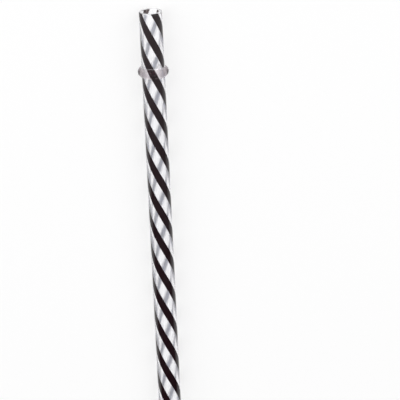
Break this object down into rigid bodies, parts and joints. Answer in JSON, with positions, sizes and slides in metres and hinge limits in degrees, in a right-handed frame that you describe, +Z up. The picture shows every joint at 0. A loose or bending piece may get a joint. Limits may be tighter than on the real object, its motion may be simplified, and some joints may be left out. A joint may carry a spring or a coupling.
{
  "type": "reusable drinking straw",
  "caption": "Straight clear plastic drinking straw with dark stripes wound along its wall and a half-round stop ring below its mouth, lying at rest.",
  "frame": {"origin": "on the table, under the middle of the straw's bounding box", "axes": "+Y along the straw to its mouth, +Z up from the table. The straw's own axis rises 0.39 degrees towards the mouth, because it rests on the ring and on its lower end"},
  "size_m": [0.0108, 0.23, 0.0108],
  "materials": {
    "clear_plastic": "clear, slightly hazy, polished",
    "stripe_plastic": "opaque black, polished",
    "ring_plastic": "clear, slightly hazy, polished"
  },
  "bodies": {
    "root": {"clear_tube": "clear_plastic", "colour_stripes": "stripe_plastic", "stop_ring": "ring_plastic"}
  },
  "joints": []
}
